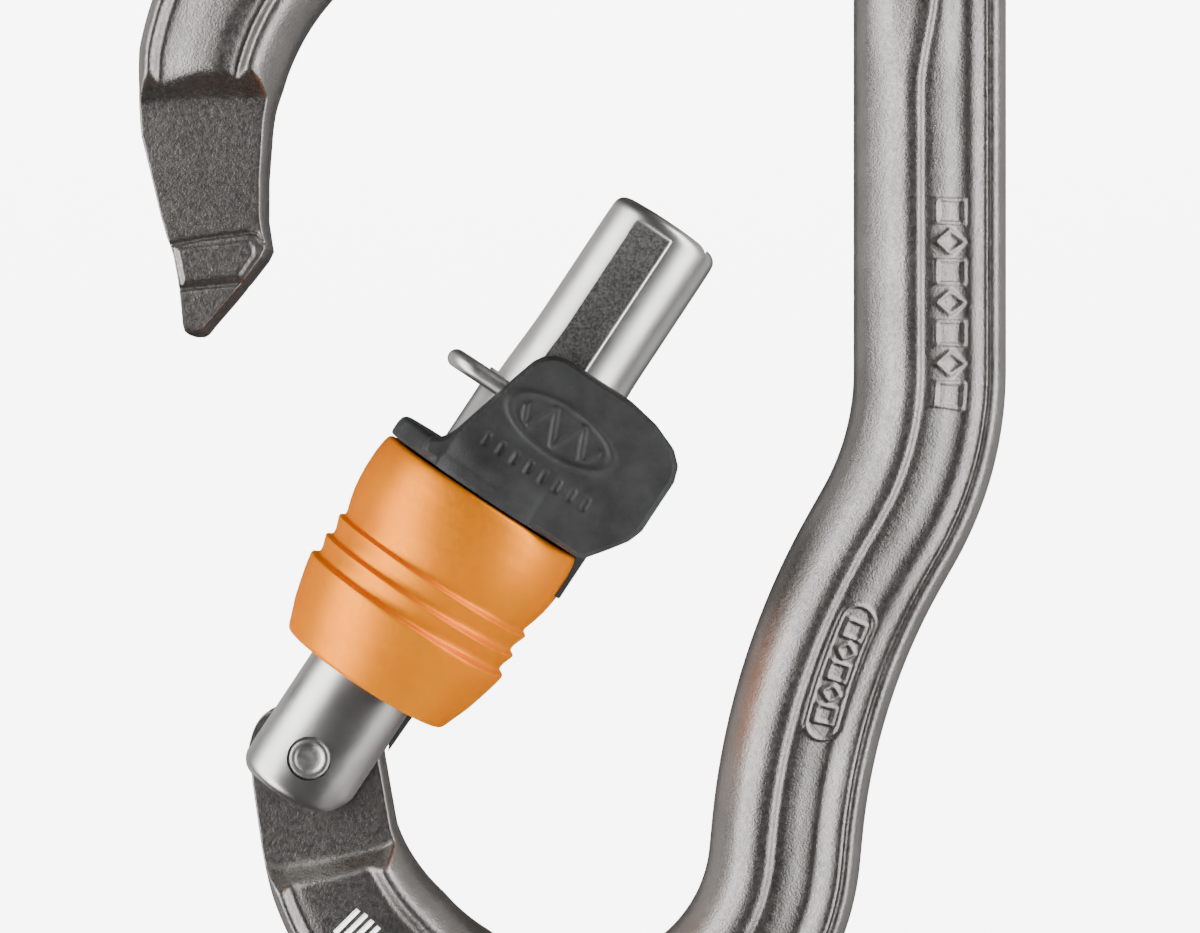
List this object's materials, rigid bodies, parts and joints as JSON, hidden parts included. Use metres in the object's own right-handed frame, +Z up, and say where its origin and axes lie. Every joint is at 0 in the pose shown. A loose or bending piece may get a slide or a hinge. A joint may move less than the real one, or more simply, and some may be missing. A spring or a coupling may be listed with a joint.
{
  "type": "locking carabiner",
  "caption": "Pear-shaped forged connector with a swinging gate, a sprung pull-back lock sleeve and a wire bail that traps the nose when shut.",
  "frame": {"origin": "the highest point of the inner edge of the upper basket, on the mid-plane, where a rope, sling or anchor bears", "axes": "+Z up along the body's length, +X towards the solid spine, away from the gate, +Y through the thickness"},
  "size_m": [0.0743, 0.02, 0.1223],
  "materials": {
    "anodised_alloy": "bead-blasted and anodised warm grey",
    "turned_alloy": "satin bright",
    "orange_anodised": "satin orange anodising",
    "steel": "bright stainless",
    "black_nylon": "fine matte moulding grain"
  },
  "bodies": {
    "frame_body": {"frame": "anodised_alloy", "hinge_rivet": "steel"},
    "gate_body": {"gate": "turned_alloy", "spring_seat": "steel", "gate_spring": "steel"},
    "plunger_body": {"gate_plunger": "black_nylon"},
    "sleeve_body": {"sleeve_ring": "orange_anodised", "sleeve_bush": "black_nylon", "lock_cap": "black_nylon", "lock_wire": "steel", "sleeve_spring": "steel"}
  },
  "joints": [
    {"name": "gate_hinge", "type": "hinge", "parent": "frame_body", "child": "gate_body", "pos_m": [-0.03, 0, -0.0778], "axis": [0, -1, 0], "range_deg": [0, 41.5], "stiffness_Nm_per_rad": 0.12, "springref_deg": 51.57},
    {"name": "plunger_slide", "type": "slide", "parent": "gate_body", "child": "plunger_body", "axis": [-0.5519, 0, -0.8339], "range_m": [0, 0.0013], "deforming": ["gate_spring"]},
    {"name": "sleeve_slide", "type": "slide", "parent": "gate_body", "child": "sleeve_body", "axis": [0.5519, 0, 0.8339], "range_m": [-0.001, 0.007], "stiffness_N_per_m": 350, "springref_m": 0.012, "deforming": ["sleeve_spring"]}
  ],
  "couplings": [
    {"joint": "plunger_slide", "follows": "gate_hinge", "m_per_rad": 0.0016}
  ]
}
